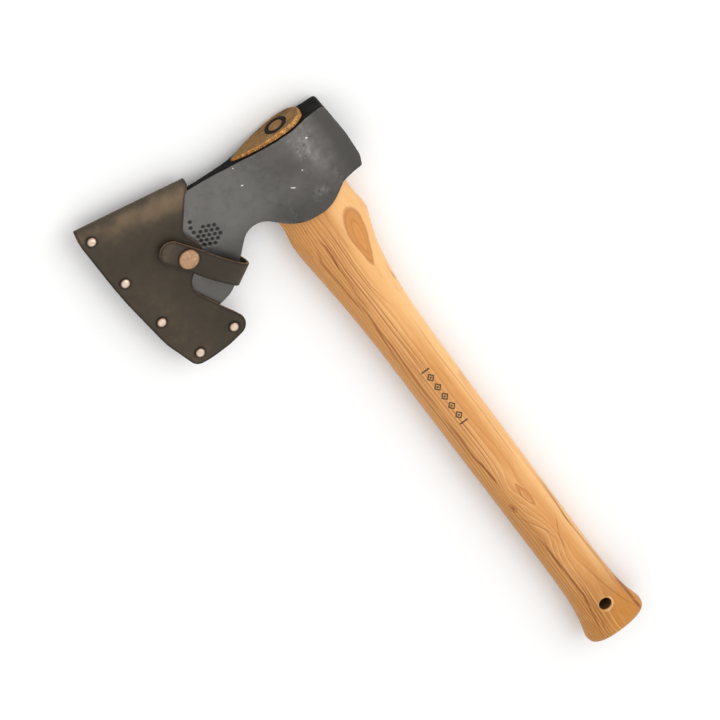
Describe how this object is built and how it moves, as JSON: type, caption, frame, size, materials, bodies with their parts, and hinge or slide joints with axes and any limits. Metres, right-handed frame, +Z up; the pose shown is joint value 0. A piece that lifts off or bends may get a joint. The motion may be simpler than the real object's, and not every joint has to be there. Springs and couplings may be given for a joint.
{
  "type": "hatchet",
  "caption": "Bearded carpenter's hand axe: forged head with a ring wedge in its eye, flared hickory handle with a lanyard hole, and a riveted leather blade guard with a snap strap.",
  "frame": {"origin": "bottom centre of the bounding box, with the axe lying on its side and the guard on", "axes": "+X from the head along the handle to the butt, +Y from the cutting edge to the poll, +Z up through the thickness"},
  "size_m": [0.5274, 0.1868, 0.0298],
  "materials": {
    "forged_steel": "dark forge scale, oiled, satin",
    "hickory": "oiled, fine straight grain with brown streaks",
    "ring_steel": "blackened",
    "guard_leather": "oiled pull-up hide, satin",
    "welt_leather": "raw vegetable tanned, matte",
    "copper_rivet": "worn copper-brass, satin",
    "antique_brass": "antique copper-brass, satin"
  },
  "bodies": {
    "axe": {"axe_head": "forged_steel", "handle": "hickory", "ring_wedge": "ring_steel"},
    "guard": {"guard_cover": "guard_leather", "edge_welt": "welt_leather", "rim_rivet_1_post": "copper_rivet", "rim_rivet_1_cap": "copper_rivet", "rim_rivet_2_post": "copper_rivet", "rim_rivet_2_cap": "copper_rivet", "rim_rivet_3_post": "copper_rivet", "rim_rivet_3_cap": "copper_rivet", "rim_rivet_4_post": "copper_rivet", "rim_rivet_4_cap": "copper_rivet", "rim_rivet_5_post": "copper_rivet", "rim_rivet_5_cap": "copper_rivet", "strap_tail": "guard_leather", "strap_rivet_1_post": "copper_rivet", "strap_rivet_1_cap": "copper_rivet", "strap_rivet_2_post": "copper_rivet", "strap_rivet_2_cap": "copper_rivet", "snap_stud": "antique_brass", "snap_eyelet": "antique_brass"},
    "strap": {"strap_flap": "guard_leather", "strap_fold": "guard_leather", "snap_cap": "antique_brass", "snap_socket": "antique_brass"}
  },
  "joints": [
    {"name": "guard_slide", "type": "slide", "parent": "axe", "child": "guard", "axis": [-0.2283, -0.9736, 0], "range_m": [0, 0.11]},
    {"name": "strap_hinge", "type": "hinge", "parent": "guard", "child": "strap", "pos_m": [-0.15824, -0.01694, 0.0149], "axis": [-0.5075, 0.8616, 0], "range_deg": [0, 140], "deforming": ["strap_fold"]}
  ]
}
